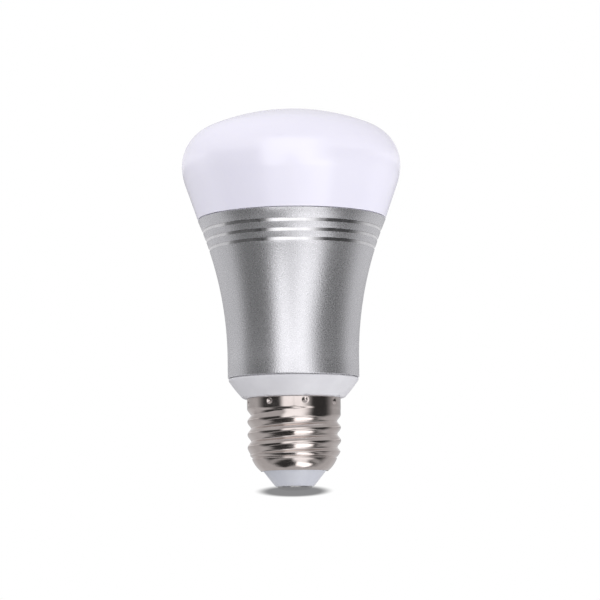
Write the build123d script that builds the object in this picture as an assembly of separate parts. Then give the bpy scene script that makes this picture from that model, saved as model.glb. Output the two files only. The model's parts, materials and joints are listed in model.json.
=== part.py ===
from build123d import *
from math import acos, atan, atan2, cos, hypot, pi, radians, sin, sqrt, tan
import os

# Smart light bulb with an E27 screw cap, in millimetres.
# The origin is the tip of the end contact, +Z runs up the lamp's axis to the top of the diffuser.
# Every piece is written as its own STEP file, named after the piece.

# ---------------------------------------------------------------- driving dimensions
FIT = 0.05  # gap between pieces that slide together

# E27 cap: 7 threads to the inch, rounded crests and roots
THREAD_PITCH = 25.4 / 7
CREST_R = 13.05
ROOT_R = 12.05
THREAD_ARC_R = 1.025
CREST_START_Z = 10.04  # height of the lowest crest on the +X side
THREAD_TURNS = 4.4
THREAD_FOOT_Z = 1.65  # half the height of a ridge where it meets the root
THREAD_SINK = 0.08  # how far a ridge's flanks run on below the root, so that no edge lies on it
SHELL_WALL = 0.35
BAND_R = 13.1
BAND_Z = 20.2
SHELL_TOP_Z = 25.6
CONE_TOP = (13.0, 10.9)  # (radius, height)
CONE_MID = (11.5, 8.1)
CONE_END = (9.4, 5.3)
RIM_RISE = 0.45  # straight part above the cone
RIM_STEP = 0.4  # from there in to the thread's root
STAKE_COUNT = 8
STAKE_ANGLE = 14.0 - 90.0
STAKE_Z = 24.4
STAKE_R = 1.3
STAKE_DEPTH = 0.42

# insulator and end contact
INSULATOR_BASE_Z = 1.0
INSULATOR_BASE_R = 5.72
INSULATOR_TOP_Z = 9.6
CONTACT_R = 4.8
CONTACT_FLAT_R = 2.4
CONTACT_SHANK_R = 1.4
CONTACT_BORE_R = 0.9
CONTACT_FLANGE_R = 2.4  # the shank's end, clenched over inside
INSULATOR_CUP_R = (8.8, 10.6)
INSULATOR_FLOOR_Z = 7.6
INSULATOR_CONE_TOP_R = 8.75

# driver housing, the white moulding that carries the cap and fills the sleeve
NECK_R = 11.6
NECK_BORE_R = 10.0
NECK_LAND_R = 12.65  # the land that carries the shell's band
NECK_LAND_Z = 22.3
COLLAR_FOOT_R = 13.8
COLLAR_LIP = ((14.4, 25.8), (14.75, 26.2))  # (radius, height) half way round the lip and at its end
COLLAR_BELLY = (16.5, 28.25)
COLLAR_SHOULDER = (18.05, 30.35)
COLLAR_TOP = (18.2, 31.1)
SHADOW_GAP = 0.25  # height of the dark line between collar and sleeve
SHADOW_GAP_R = 17.7
TUBE_R = 17.1
TUBE_WALL = 1.4
TUBE_TOP_Z = 70.8
BOSS_R = 2.6
BOSS_CIRCLE_R = 14.2
BOSS_ANGLES = (90, 210, 330)
BOSS_BOTTOM_Z = 60.0

NOTCH_ANGLE = 225  # where the neutral wire leaves the neck
NOTCH_WIRE_Z = 10.25
NEUTRAL_R = 0.38

# aluminium sleeve
SLEEVE_BOTTOM_Z = COLLAR_TOP[1] + SHADOW_GAP
SLEEVE_TOP_Z = 76.0
SLEEVE_R = 18.43
FLARE_START_Z = 36.5
FLARE_R = 100.5
SLEEVE_WALL = 1.2
GROOVE_Z = (67.25, 69.7, 72.25)  # lower edge of each bright-cut groove
GROOVE_HEIGHT = 0.9
GROOVE_DEPTH = 0.06
LEDGE_Z = 71.2
LEDGE_R = 22.2
PLATE_BORE_R = 23.65
SEAL_SHELF_Z = 73.0
SKIRT_BORE_R = 24.85

# diffuser: straight flank, waist arc, shoulder arc and top dome, all tangent
DIFFUSER_R = 30.9
DIFFUSER_R_Z = 91.3
DIFFUSER_TOP_Z = 106.9
FLANK_SLOPE = 0.35
WAIST_ARC_R = 15.0
SHOULDER_ARC_R = 11.6
DIFFUSER_WALL = 1.5
DIFFUSER_BOTTOM_Z = SLEEVE_TOP_Z + 0.15
SKIRT_BOTTOM_Z = 73.3
SNAP_Z = 74.3

# light engine
PLATE_THICKNESS = 1.5
PAD_THICKNESS = 0.3
BOARD_THICKNESS = 1.2
BOARD_R = 22.9
PAD_Z = LEDGE_Z + PLATE_THICKNESS
LED_BOARD_Z = PAD_Z + PAD_THICKNESS
LED_Z = LED_BOARD_Z + BOARD_THICKNESS
WHITE_LED_COUNT = 16
WHITE_LED_CIRCLE_R = 19.3
COLOUR_LED_CIRCLE_R = 12.0
COLOUR_LED_ANGLES = (0, 45, 135, 180, 240, 300)
SCREW_R = 1.2
SCREW_HOLE_R = 1.45

# driver board, a card that stands in two guides
CARD_Y = -3.0
CARD_THICKNESS = 1.6
CARD_HALF_WIDTH = 14.6
CARD_Z = (33.0, 68.0)
TONGUE_HALF_WIDTH = 8.6
TONGUE_Z = 13.0
CARD_FRONT = CARD_Y + CARD_THICKNESS / 2
CARD_BACK = CARD_Y - CARD_THICKNESS / 2

# radio board, a small card through the middle of the LED board
RADIO_THICKNESS = 0.8
RADIO_HALF_WIDTH = 7.5
RADIO_Z = (57.5, 81.5)
RADIO_SLOT = (16.0, 1.6)

# pin header between the driver board and the LED board
PIN_PITCH = 2.54
PIN_COUNT = 6
PIN_SIDE = 0.64
HEADER_Y = -5.1
PIN_XS = [(i - (PIN_COUNT - 1) / 2) * PIN_PITCH for i in range(PIN_COUNT)]


# ---------------------------------------------------------------- helpers
def lathe(*edges):
    """Turns a closed outline of (radius, height) edges about the lamp's axis."""
    return revolve(Plane.XZ * make_face(Curve() + list(edges)), Axis.Z, 360)


def turned(*points):
    """Turns a closed polygon of (radius, height) points about the lamp's axis."""
    return lathe(Polyline(*points, close=True))


def box_between(low, high):
    """A box from its lowest to its highest corner."""
    size = [h - l for l, h in zip(low, high)]
    centre = [(h + l) / 2 for l, h in zip(low, high)]
    return Pos(*centre) * Box(*size)


def rod(radius, low_z, high_z, x=0.0, y=0.0):
    """An upright cylinder."""
    return Pos(x, y, (low_z + high_z) / 2) * Cylinder(radius, high_z - low_z)


def cross_rod(radius, low_y, high_y, x, z):
    """A cylinder that lies along Y."""
    return Pos(x, (low_y + high_y) / 2, z) * Rot(90, 0, 0) * Cylinder(radius, high_y - low_y)


def around(radius, angles):
    """(x, y) places on a circle about the axis."""
    return [(radius * cos(radians(a)), radius * sin(radians(a))) for a in angles]


def group(solids):
    """Separate solids that share a node."""
    return Compound(children=[s.solid() if not isinstance(s, Solid) else s for s in solids])


def wire_along(points, radii, radius):
    """A round wire along straight runs joined by tangent arcs."""
    path = FilletPolyline(*points, radius=radii)
    section = Plane(path @ 0, z_dir=path % 0) * Circle(radius)
    return sweep(section, path=path)


# ---------------------------------------------------------------- E27 cap
def thread_ridge(inset):
    """A helical ridge with the cap's rounded crest, shrunk all round by inset and sunk below the root."""
    arc_centre_r = CREST_R - THREAD_ARC_R
    foot_r = ROOT_R - arc_centre_r
    flank_angle = atan2(THREAD_FOOT_Z, foot_r) - acos(THREAD_ARC_R / hypot(foot_r, THREAD_FOOT_Z))
    arc_r = THREAD_ARC_R - inset
    tangent_r = arc_centre_r + arc_r * cos(flank_angle)
    tangent_z = arc_r * sin(flank_angle)
    low_r = ROOT_R - inset - THREAD_SINK
    low_z = tangent_z + (tangent_r - low_r) / tan(flank_angle)
    base_r = low_r - THREAD_SINK
    section = Plane.XZ * make_face(Curve() + [
        ThreePointArc((tangent_r, -tangent_z), (arc_centre_r + arc_r, 0), (tangent_r, tangent_z)),
        Polyline((tangent_r, tangent_z), (low_r, low_z), (base_r, low_z),
                 (base_r, -low_z), (low_r, -low_z), (tangent_r, -tangent_z)),
    ])
    helix = Helix(THREAD_PITCH, THREAD_PITCH * THREAD_TURNS, arc_centre_r)
    return Pos(0, 0, CREST_START_Z - THREAD_PITCH) * sweep(section, path=helix, is_frenet=True)


def cone_arc(inset):
    """The cap's lower cone, moved inwards by inset, from its foot up."""
    slope = atan2(CONE_TOP[1] - CONE_END[1], CONE_TOP[0] - CONE_END[0])
    shift = (-inset * sin(slope), inset * cos(slope))
    moved = [(r + shift[0], z + shift[1]) for r, z in (CONE_END, CONE_MID, CONE_TOP)]
    return moved, ThreePointArc(*moved)


def cone_envelope(inset):
    """Everything inside the cone, and everything above it."""
    (foot, _, top), arc = cone_arc(inset)
    wide_r = CREST_R + 1
    return lathe(arc, Polyline(top, (wide_r, top[1]), (wide_r, 30), (0, 30), (0, foot[1]), foot))


def stakes(radius):
    """The balls whose dents stake the shell to the neck."""
    centre_r = BAND_R - STAKE_DEPTH + STAKE_R
    angles = [STAKE_ANGLE + 360 / STAKE_COUNT * i for i in range(STAKE_COUNT)]
    return [Pos(x, y, STAKE_Z) * Sphere(radius) for x, y in around(centre_r, angles)]


def shell_blank(inset, rim_rise, step_z):
    """The cap's filled outline, moved inwards by inset: cone, rim, thread, and plain band above step_z."""
    (foot, _, top), arc = cone_arc(inset)
    root_r = ROOT_R - inset
    band_r = BAND_R - inset
    rim_z = top[1] + rim_rise
    blank = lathe(arc, Line(top, (top[0], rim_z)), Polyline(
        (top[0], rim_z), (root_r, rim_z + RIM_STEP), (root_r, step_z), (band_r, step_z),
        (band_r, SHELL_TOP_Z), (0, SHELL_TOP_Z), (0, foot[1]), foot,
    ))
    below_band = rod(20, 0, step_z + 0.2)
    return blank + (thread_ridge(inset) & cone_envelope(inset) & below_band)


def screw_shell():
    blank = shell_blank(0, RIM_RISE, BAND_Z)
    hollow = shell_blank(SHELL_WALL, 0.01, BAND_Z + SHELL_WALL)
    for ball in stakes(STAKE_R + SHELL_WALL):
        hollow -= ball
    for dent in stakes(STAKE_R):
        blank -= dent
    return blank - hollow - rod(CONE_END[0], 0, CONE_END[1] + 0.2)


def insulator():
    (foot, _, top), arc = cone_arc(SHELL_WALL)
    far_r, foot_z = CREST_R + 1, CONE_END[1]
    metal_side = lathe(arc, Polyline(top, (far_r, top[1]), (far_r, foot_z), (foot[0], foot_z), foot))
    bore_r = CONTACT_SHANK_R + FIT
    cup_r, rim_r = INSULATOR_CUP_R
    blank = turned(
        (bore_r, INSULATOR_BASE_Z), (INSULATOR_BASE_R - 0.5, INSULATOR_BASE_Z),
        (INSULATOR_BASE_R, INSULATOR_BASE_Z + 0.45), (INSULATOR_CONE_TOP_R, CONE_END[1]),
        (rim_r, CONE_END[1]), (rim_r, INSULATOR_TOP_Z), (cup_r, INSULATOR_TOP_Z),
        (cup_r, INSULATOR_FLOOR_Z), (bore_r, INSULATOR_FLOOR_Z),
    )
    return blank - metal_side


def end_contact():
    rim_z = INSULATOR_BASE_Z
    flange_z = INSULATOR_FLOOR_Z
    dome = ThreePointArc((CONTACT_FLAT_R, 0), (3.9, 0.22), (CONTACT_R, 0.7))
    return lathe(
        Line((0, 0), (CONTACT_FLAT_R, 0)),
        dome,
        Polyline((CONTACT_R, 0.7), (CONTACT_R, rim_z), (CONTACT_SHANK_R, rim_z),
                 (CONTACT_SHANK_R, flange_z), (CONTACT_FLANGE_R, flange_z),
                 (CONTACT_FLANGE_R, flange_z + 0.4), (CONTACT_BORE_R, flange_z + 0.4),
                 (CONTACT_BORE_R, rim_z + 0.5), (0, rim_z + 0.5), (0, 0)),
    )


# ---------------------------------------------------------------- driver housing
def driver_housing():
    collar_r, collar_z = COLLAR_TOP
    tube_bore_r = TUBE_R - TUBE_WALL
    body = lathe(
        Polyline((NECK_BORE_R, INSULATOR_TOP_Z), (11.0, INSULATOR_TOP_Z), (NECK_R, 10.6),
                 (NECK_R, NECK_LAND_Z), (NECK_LAND_R, NECK_LAND_Z), (NECK_LAND_R, SHELL_TOP_Z),
                 (COLLAR_FOOT_R, SHELL_TOP_Z)),
        ThreePointArc((COLLAR_FOOT_R, SHELL_TOP_Z), *COLLAR_LIP),
        ThreePointArc(COLLAR_LIP[-1], COLLAR_BELLY, COLLAR_SHOULDER),
        Polyline(COLLAR_SHOULDER, (collar_r, collar_z - 0.4), (collar_r, collar_z - 0.15),
                 (collar_r - 0.15, collar_z), (SHADOW_GAP_R, collar_z), (SHADOW_GAP_R, SLEEVE_BOTTOM_Z),
                 (TUBE_R, SLEEVE_BOTTOM_Z), (TUBE_R, TUBE_TOP_Z), (tube_bore_r, TUBE_TOP_Z),
                 (tube_bore_r, 32.5), (NECK_BORE_R, 25.0), (NECK_BORE_R, INSULATOR_TOP_Z)),
    )
    # screw bosses up to the heat spreader
    for x, y in around(BOSS_CIRCLE_R, BOSS_ANGLES):
        body += rod(BOSS_R, BOSS_BOTTOM_Z, LEDGE_Z, x, y)
        body -= rod(SCREW_R + FIT, BOSS_BOTTOM_Z + 3, LEDGE_Z, x, y)
    body += [boss & rod(tube_bore_r + 0.1, 54, BOSS_BOTTOM_Z) for boss in boss_feet()]
    # card guides
    slot_low, slot_high = CARD_BACK - FIT, CARD_FRONT + FIT
    inside = rod(tube_bore_r + 0.3, 33, 66)
    for side in (-1, 1):
        for low, high in ((slot_low - 1.1, slot_low), (slot_high, slot_high + 1.1)):
            edges = sorted((side * 13.2, side * 16.0))
            body += box_between((edges[0], low, 33), (edges[1], high, 66)) & inside
    # dents under the stakes, and the neutral wire's notch and groove
    for dent in stakes(STAKE_R + SHELL_WALL + FIT):
        body -= dent
    groove = box_between((NECK_R - 0.85, -0.55, INSULATOR_TOP_Z), (14, 0.55, 16))
    notch = box_between((NECK_BORE_R - 1, -0.55, INSULATOR_TOP_Z), (NECK_R, 0.55, 10.8))
    return body - Rot(0, 0, NOTCH_ANGLE) * (groove + notch)


def boss_feet():
    """Cones that carry the screw bosses down onto the tube's wall."""
    return [
        Pos(x, y, (54 + BOSS_BOTTOM_Z) / 2) * Cone(0.6, BOSS_R, BOSS_BOTTOM_Z - 54)
        for x, y in around(BOSS_CIRCLE_R + 1.2, BOSS_ANGLES)
    ]


# ---------------------------------------------------------------- aluminium sleeve
def sleeve_radius(z, inset=0.0):
    """Outside radius of the sleeve at a height, or of a surface inset below it."""
    if z <= FLARE_START_Z:
        return SLEEVE_R - inset
    rise = FLARE_R - sqrt(FLARE_R**2 - (z - FLARE_START_Z) ** 2)
    return SLEEVE_R + rise - inset


def flare_arc(low_z, high_z, inset=0.0):
    """The sleeve's flared side between two heights."""
    heights = (low_z, (low_z + high_z) / 2, high_z)
    return ThreePointArc(*[(sleeve_radius(z, inset), z) for z in heights])


def sleeve_outside():
    """The visible side from bottom to top, as edges with its three bright-cut grooves."""
    edges = [Line((SLEEVE_R, SLEEVE_BOTTOM_Z + 0.2), (SLEEVE_R, FLARE_START_Z))]
    low = FLARE_START_Z
    for z in GROOVE_Z:
        low_r, high = sleeve_radius(z), z + GROOVE_HEIGHT
        face_r = low_r - GROOVE_DEPTH
        edges.append(flare_arc(low, z))
        edges.append(Polyline((low_r, z), (face_r, z), (face_r, high), (sleeve_radius(high), high)))
        low = high
    edges.append(flare_arc(low, SLEEVE_TOP_Z - 0.15))
    return edges


def heat_sink_sleeve():
    top_r = sleeve_radius(SLEEVE_TOP_Z - 0.15)
    bore_r = TUBE_R + FIT
    snap_r = SKIRT_BORE_R + 0.3
    edges = sleeve_outside()
    edges.append(Polyline(
        (top_r, SLEEVE_TOP_Z - 0.15), (top_r - 0.15, SLEEVE_TOP_Z), (SKIRT_BORE_R, SLEEVE_TOP_Z),
        (SKIRT_BORE_R, SNAP_Z + 0.4), (snap_r, SNAP_Z), (SKIRT_BORE_R, SNAP_Z - 0.4),
        (SKIRT_BORE_R, SEAL_SHELF_Z), (PLATE_BORE_R, SEAL_SHELF_Z), (PLATE_BORE_R, LEDGE_Z),
        (LEDGE_R, LEDGE_Z), (LEDGE_R, 69.6), (sleeve_radius(68.6, SLEEVE_WALL), 68.6),
    ))
    edges.append(flare_arc(42.0, 68.6, SLEEVE_WALL))
    edges.append(Polyline(
        (sleeve_radius(42.0, SLEEVE_WALL), 42.0), (bore_r, 41.0), (bore_r, SLEEVE_BOTTOM_Z),
        (SLEEVE_R - 0.2, SLEEVE_BOTTOM_Z), (SLEEVE_R, SLEEVE_BOTTOM_Z + 0.2),
    ))
    return lathe(*edges)


# ---------------------------------------------------------------- diffuser
def dome_edges(inset, low_z):
    """Outline from low_z up the flank to the top of the dome, moved inwards by inset."""
    flank = atan(FLANK_SLOPE)
    drop = DIFFUSER_TOP_Z - DIFFUSER_R_Z
    shoulder_centre_r = DIFFUSER_R - SHOULDER_ARC_R
    dome_r = (shoulder_centre_r**2 + drop**2 - SHOULDER_ARC_R**2) / (2 * (drop - SHOULDER_ARC_R))
    dome_centre_z = DIFFUSER_TOP_Z - dome_r
    dome_angle = atan2(DIFFUSER_R_Z - dome_centre_z, shoulder_centre_r)

    def on_arc(centre, radius, angle):
        return (centre[0] + (radius - inset) * cos(angle), centre[1] + (radius - inset) * sin(angle))

    waist = (DIFFUSER_R - WAIST_ARC_R, DIFFUSER_R_Z)
    shoulder = (shoulder_centre_r, DIFFUSER_R_Z)
    crown = (0, dome_centre_z)
    flank_end = on_arc(waist, WAIST_ARC_R, -flank)
    flank_start = (flank_end[0] - FLANK_SLOPE * (flank_end[1] - low_z), low_z)
    widest = on_arc(waist, WAIST_ARC_R, 0)
    dome_start = on_arc(shoulder, SHOULDER_ARC_R, dome_angle)
    top = on_arc(crown, dome_r, pi / 2)
    edges = [
        Line(flank_start, flank_end),
        ThreePointArc(flank_end, on_arc(waist, WAIST_ARC_R, -flank / 2), widest),
        ThreePointArc(widest, on_arc(shoulder, SHOULDER_ARC_R, dome_angle / 2), dome_start),
        ThreePointArc(dome_start, on_arc(crown, dome_r, (dome_angle + pi / 2) / 2), top),
    ]
    return flank_start, top, edges


def diffuser():
    rim_z = DIFFUSER_BOTTOM_Z + 0.25
    outer_start, outer_top, outer_edges = dome_edges(0, rim_z)
    inner_start, inner_top, inner_edges = dome_edges(DIFFUSER_WALL, 78.0)
    skirt_r = SKIRT_BORE_R - FIT
    skirt_in_r = skirt_r - 1.3
    return lathe(
        *outer_edges,
        Line(outer_top, inner_top),
        *inner_edges,
        Polyline(inner_start, (skirt_in_r, 76.0), (skirt_in_r, SKIRT_BOTTOM_Z), (skirt_r, SKIRT_BOTTOM_Z),
                 (skirt_r, SNAP_Z - 0.35), (skirt_r + 0.25, SNAP_Z), (skirt_r, SNAP_Z + 0.35),
                 (skirt_r, DIFFUSER_BOTTOM_Z), (outer_start[0] - 0.3, DIFFUSER_BOTTOM_Z), outer_start),
    )


def diffuser_seal():
    inner_r, outer_r = SKIRT_BORE_R - 1.1, SKIRT_BORE_R - 0.1
    return turned((inner_r, SEAL_SHELF_Z), (outer_r, SEAL_SHELF_Z),
                  (outer_r, SKIRT_BOTTOM_Z), (inner_r, SKIRT_BOTTOM_Z))


# ---------------------------------------------------------------- light engine
def disc_with_openings(radius, low_z, thickness, screw_hole_r, header_slot):
    """A disc with the screw holes, the radio board's slot and the header's slot."""
    high_z = low_z + thickness
    disc = rod(radius, low_z, high_z)
    for x, y in around(BOSS_CIRCLE_R, BOSS_ANGLES):
        disc -= rod(screw_hole_r, low_z, high_z, x, y)
    slots = ((RADIO_SLOT, 0.0), (header_slot, HEADER_Y))
    for (width, depth), y in slots:
        disc -= box_between((-width / 2, y - depth / 2, low_z), (width / 2, y + depth / 2, high_z))
    return disc


def heat_spreader_plate():
    return disc_with_openings(PLATE_BORE_R - 0.02, LEDGE_Z, PLATE_THICKNESS, SCREW_HOLE_R, (16.4, 3.0))


def thermal_pad():
    return disc_with_openings(BOARD_R, PAD_Z, PAD_THICKNESS, SCREW_HOLE_R + 0.3, (17.0, 3.4))


def led_board():
    board = rod(BOARD_R, LED_BOARD_Z, LED_Z)
    for x, y in around(BOSS_CIRCLE_R, BOSS_ANGLES):
        board -= rod(SCREW_HOLE_R, LED_BOARD_Z, LED_Z, x, y)
    board -= box_between((-RADIO_SLOT[0] / 2, -RADIO_SLOT[1] / 2, LED_BOARD_Z),
                         (RADIO_SLOT[0] / 2, RADIO_SLOT[1] / 2, LED_Z))
    for x in PIN_XS:
        board -= rod(0.55, LED_BOARD_Z, LED_Z, x, HEADER_Y)
    return board


def led_places(circle_r, angles):
    """A location at each LED, turned to face outwards."""
    return [Pos(x, y, LED_Z) * Rot(0, 0, a) for (x, y), a in zip(around(circle_r, angles), angles)]


WHITE_LED_ANGLES = [360 / WHITE_LED_COUNT * (i + 0.5) for i in range(WHITE_LED_COUNT)]


def white_led_packages():
    package = Pos(0, 0, 0.35) * Box(2.8, 3.5, 0.7) - Pos(0, 0, 0.55) * Box(2.1, 2.7, 0.3)
    return group([place * package for place in led_places(WHITE_LED_CIRCLE_R, WHITE_LED_ANGLES)])


def white_led_phosphor():
    fill = Pos(0, 0, 0.525) * Box(2.1, 2.7, 0.25)
    return group([place * fill for place in led_places(WHITE_LED_CIRCLE_R, WHITE_LED_ANGLES)])


def colour_led_packages():
    package = Pos(0, 0, 0.75) * Box(5, 5, 1.5) - Pos(0, 0, 1.2) * Cylinder(1.9, 0.6)
    return group([place * package for place in led_places(COLOUR_LED_CIRCLE_R, COLOUR_LED_ANGLES)])


def colour_led_lenses():
    lens = Pos(0, 0, 1.175) * Cylinder(1.9, 0.55)
    return group([place * lens for place in led_places(COLOUR_LED_CIRCLE_R, COLOUR_LED_ANGLES)])


def led_board_screws():
    head = rod(2.2, LED_Z, LED_Z + 1.5)
    head = fillet(head.edges().filter_by(GeomType.CIRCLE).sort_by(Axis.Z)[-1:], 0.7)
    recess = Pos(0, 0, LED_Z + 1.2) * (Box(2.4, 0.5, 0.9) + Box(0.5, 2.4, 0.9))
    screw = head + rod(SCREW_R, LED_Z - 9, LED_Z) - recess
    return group([Pos(x, y, 0) * screw for x, y in around(BOSS_CIRCLE_R, BOSS_ANGLES)])


def led_board_socket():
    half = PIN_COUNT * PIN_PITCH / 2
    block = box_between((-half, HEADER_Y - 1.25, LED_Z), (half, HEADER_Y + 1.25, LED_Z + 3.0))
    for x in PIN_XS:
        block -= box_between((x - 0.36, HEADER_Y - 0.36, LED_Z), (x + 0.36, HEADER_Y + 0.36, LED_Z + 2.2))
    return block


# ---------------------------------------------------------------- pin header
def header_pins():
    half = PIN_SIDE / 2
    pins = []
    for x in PIN_XS:
        upright = box_between((x - half, HEADER_Y - half, 64.4), (x + half, HEADER_Y + half, LED_Z + 2.0))
        foot = box_between((x - half, HEADER_Y + half, 64.4), (x + half, CARD_BACK, 64.4 + PIN_SIDE))
        pins.append(upright + foot)
    return group(pins)


def header_block():
    half = PIN_COUNT * PIN_PITCH / 2
    block = box_between((-half, HEADER_Y - 1.2, 66.0), (half, CARD_BACK, 68.4))
    for x in PIN_XS:
        block -= box_between((x - PIN_SIDE / 2, HEADER_Y - PIN_SIDE / 2, 66.0),
                             (x + PIN_SIDE / 2, HEADER_Y + PIN_SIDE / 2, 68.4))
    return block


# ---------------------------------------------------------------- radio module
RADIO_FRONT = RADIO_THICKNESS / 2


def radio_board():
    half = RADIO_HALF_WIDTH
    return box_between((-half, -RADIO_FRONT, RADIO_Z[0]), (half, RADIO_FRONT, RADIO_Z[1]))


def radio_shield():
    can = box_between((-6, RADIO_FRONT, 60.2), (6, RADIO_FRONT + 2.2, 70.4))
    can = fillet(can.edges().filter_by(Axis.Y), 0.6)
    return can - box_between((-5.8, RADIO_FRONT, 60.4), (5.8, RADIO_FRONT + 2.0, 70.2))


def radio_chip():
    return box_between((-2.5, RADIO_FRONT, 62.5), (2.5, RADIO_FRONT + 0.9, 67.5))


def radio_flash_chip():
    return box_between((-5.2, RADIO_FRONT, 61.5), (-3.2, RADIO_FRONT + 0.8, 65.0))


def radio_antenna():
    """A flat meander of copper on the end that stands above the LED board."""
    track, thick, low, high = 0.5, 0.1, 75.6, 80.8
    y = (RADIO_FRONT, RADIO_FRONT + thick)
    step = 1.7
    count = 8
    antenna = box_between((-6.6, y[0], low), (-6.6 + track, y[1], high))
    for i in range(1, count):
        x = -6.6 + step * i
        antenna += box_between((x, y[0], low + 1.4), (x + track, y[1], high))
        link_z = high - track if i % 2 else low + 1.4
        antenna += box_between((x - step, y[0], link_z), (x + track, y[1], link_z + track))
    return antenna


def radio_pins():
    half = PIN_SIDE / 2
    low_z = 58.2
    pins = []
    for i in range(6):
        x = (i - 2.5) * 2.0
        pins.append(box_between((x - half, CARD_FRONT, low_z), (x + half, -RADIO_FRONT, low_z + PIN_SIDE)))
    return group(pins)


# ---------------------------------------------------------------- driver board and its parts
def driver_board():
    """The card: a wide part, a tongue down into the neck, and a creepage slot beside the transformer."""
    low_z, high_z = CARD_Z
    wide, narrow = CARD_HALF_WIDTH, TONGUE_HALF_WIDTH
    card = box_between((-wide, CARD_BACK, low_z), (wide, CARD_FRONT, high_z))
    card += box_between((-narrow, CARD_BACK, TONGUE_Z), (narrow, CARD_FRONT, low_z))
    return card - box_between((-3.0, CARD_BACK, 39.0), (-2.0, CARD_FRONT, 55.5))


INPUT_CAN = (5.0, 14.5, 0.0, 16.0)  # radius, length, x, low z
OUTPUT_CAN = (4.0, 12.0, -9.4, 43.5)


def can_capacitor(radius, length, x, low_z):
    """A can that lies along the card, with its rolled neck and the vent cross on its end."""
    can = lathe(Line((0, 0), (radius, 0)),
                Line((radius, 0), (radius, 1.6)),
                ThreePointArc((radius, 1.6), (radius - 0.45, 2.1), (radius, 2.6)),
                Polyline((radius, 2.6), (radius, length), (0, length), (0, 0)))
    can = fillet(can.edges().filter_by(GeomType.CIRCLE).sort_by(Axis.Z)[-1:], 0.5)
    vent = Pos(0, 0, length) * (Box(radius * 1.2, 0.25, 0.3) + Box(0.25, radius * 1.2, 0.3))
    return Pos(x, CARD_FRONT + radius + 0.15, low_z) * (can - vent)


def input_capacitor():
    return can_capacitor(*INPUT_CAN)


def output_capacitor():
    return can_capacitor(*OUTPUT_CAN)


def capacitor_leads():
    """Two bent leads from each can, and the film capacitor's two straight ones."""
    leads = []
    for radius, _, x, low_z in (INPUT_CAN, OUTPUT_CAN):
        y = CARD_FRONT + radius + 0.15
        foot_z = low_z - 1.6
        for lead_x in (x - radius / 2, x + radius / 2):
            route = [(lead_x, y, low_z), (lead_x, y, foot_z), (lead_x, CARD_FRONT, foot_z)]
            leads.append(wire_along(route, [0.8], 0.25))
    leads += [cross_rod(0.3, CARD_FRONT, CARD_FRONT + FILM_GAP, x, FILM_Z) for x in FILM_LEAD_XS]
    return group(leads)


TRANSFORMER_X, TRANSFORMER_Z = 3.8, 47.5


def transformer_core():
    """Two E halves, taken as one block with its two windows."""
    low_y = CARD_FRONT + 2.2
    x, z = TRANSFORMER_X, TRANSFORMER_Z
    block = box_between((x - 3.0, low_y, z - 6.5), (x + 3.0, low_y + 10.4, z + 6.5))
    for side in (-1, 1):
        edges = sorted((side * 1.7, side * 4.9))
        block -= box_between((x - 3.0, low_y + 1.4, z + edges[0]), (x + 3.0, low_y + 9.0, z + edges[1]))
    return block


def transformer_bobbin():
    low_y = CARD_FRONT + 2.2 + 1.4 + FIT
    x, z = TRANSFORMER_X, TRANSFORMER_Z
    height = 7.6 - 2 * FIT
    tube = box_between((x - 3.6, low_y, z - 2.3), (x + 3.6, low_y + height, z + 2.3))
    for y in (low_y, low_y + height - 0.6):
        tube += box_between((x - 5.0, y, z - 4.8), (x + 5.0, y + 0.6, z + 4.8))
    core_leg = box_between((x - 3.05, low_y - 1, z - 1.75), (x + 3.05, low_y + height + 1, z + 1.75))
    feet = [
        box_between((foot_x - 0.9, CARD_FRONT + 0.6, z - 4.6), (foot_x + 0.9, low_y, z + 4.6))
        for foot_x in (x - 4.0, x + 4.0)
    ]
    core_low = CARD_FRONT + 2.2
    core_path = box_between((x - 3.05, core_low - 0.1, z - 7), (x + 3.05, core_low + 1.4, z + 7))
    return tube + feet[0] + feet[1] - core_leg - core_path


def transformer_winding():
    low_y = CARD_FRONT + 2.2 + 1.4 + FIT + 0.6
    x, z = TRANSFORMER_X, TRANSFORMER_Z
    height = 7.6 - 2 * FIT - 1.2
    coil = box_between((x - 4.7, low_y, z - 4.4), (x + 4.7, low_y + height, z + 4.4))
    coil = fillet(coil.edges().filter_by(Axis.Y), 1.2)
    return coil - box_between((x - 3.6, low_y, z - 2.3), (x + 3.6, low_y + height, z + 2.3))


def transformer_pins():
    x, z = TRANSFORMER_X, TRANSFORMER_Z
    places = [(x + sx * 4.0, z + dz) for sx in (-1, 1) for dz in (-3.4, 0, 3.4)]
    return group([cross_rod(0.3, CARD_FRONT, CARD_FRONT + 0.6, px, pz) for px, pz in places])


CHOKE_X, CHOKE_Z = -8.0, 37.2


def choke_core():
    low_y = CARD_FRONT + 0.3
    core = cross_rod(1.6, low_y, low_y + 7.6, CHOKE_X, CHOKE_Z)
    for y in (low_y, low_y + 6.4):
        core += cross_rod(3.5, y, y + 1.2, CHOKE_X, CHOKE_Z)
    return core


def choke_winding():
    low_y = CARD_FRONT + 0.3 + 1.2
    high_y = low_y + 5.2
    return cross_rod(3.1, low_y, high_y, CHOKE_X, CHOKE_Z) - cross_rod(1.6, low_y, high_y, CHOKE_X, CHOKE_Z)


FILM_X, FILM_Z, FILM_GAP = 6.1, 36.1, 0.3
FILM_LEAD_XS = (FILM_X - 4.0, FILM_X + 4.0)


def film_capacitor():
    low_y = CARD_FRONT + FILM_GAP
    case = box_between((FILM_X - 5.5, low_y, FILM_Z - 2.5), (FILM_X + 5.5, low_y + 9.0, FILM_Z + 2.5))
    return fillet(case.edges(), 0.4)


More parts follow.
